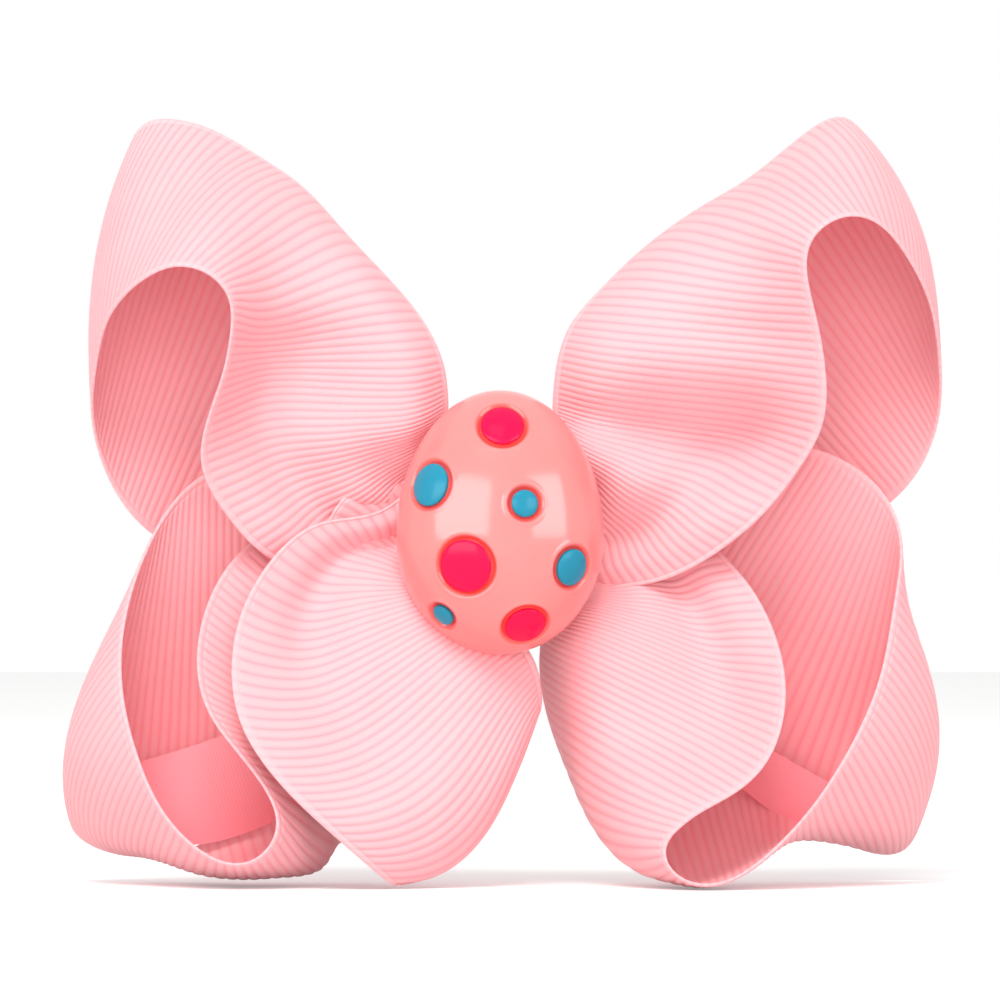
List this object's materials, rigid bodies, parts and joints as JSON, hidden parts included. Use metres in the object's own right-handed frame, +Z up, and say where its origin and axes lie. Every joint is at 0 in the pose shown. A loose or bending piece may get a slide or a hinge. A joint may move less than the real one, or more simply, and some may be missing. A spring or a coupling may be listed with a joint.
{
  "type": "hair bow",
  "caption": "Hair bow of ribbed ribbon loops bound at a knot, with a spotted egg on its front and a sprung alligator clip that holds the hair behind it.",
  "frame": {"origin": "on the gripping face of the clip's jaws, behind the middle of the knot, where the hair is held", "axes": "+X to the right seen from the front, +Y backwards into the hair, +Z up; the bow's face looks along -Y"},
  "size_m": [0.113, 0.041, 0.0983],
  "materials": {
    "ribbon_pink": "ribbed, soft sheen",
    "strip_pink": "smooth satin",
    "thread": "twisted sewing thread",
    "egg_pink": "glossy moulded resin",
    "enamel_magenta": "glossy domed enamel",
    "enamel_blue": "glossy domed enamel",
    "glue": "hardened hot glue",
    "clip_steel": "nickel-plated sheet steel"
  },
  "bodies": {
    "bow": {"upper_left_loop": "ribbon_pink", "upper_right_loop": "ribbon_pink", "lower_left_loop": "ribbon_pink", "lower_right_loop": "ribbon_pink", "front_left_petal": "ribbon_pink", "left_strip": "strip_pink", "right_strip": "strip_pink", "thread_turn_1": "thread", "thread_turn_2": "thread", "thread_turn_3": "thread", "centre_wrap": "ribbon_pink", "egg_glue_pad": "glue", "egg_shell": "egg_pink", "dot_magenta_top": "enamel_magenta", "dot_magenta_left": "enamel_magenta", "dot_magenta_low": "enamel_magenta", "dot_blue_left": "enamel_blue", "dot_blue_middle": "enamel_blue", "dot_blue_right": "enamel_blue", "dot_blue_low": "enamel_blue", "clip_glue_pad": "glue", "clip_lining": "ribbon_pink", "clip_front_arm": "clip_steel", "clip_hinge_pin": "clip_steel", "clip_spring": "clip_steel"},
    "back_arm": {"clip_back_arm": "clip_steel"}
  },
  "joints": [
    {"name": "clip_hinge", "type": "hinge", "parent": "bow", "child": "back_arm", "pos_m": [0.009, 0.0023, 0], "axis": [0, 0, -1], "range_deg": [0, 28], "stiffness_Nm_per_rad": 0.02, "springref_deg": -34.38, "deforming": ["clip_spring"]}
  ]
}
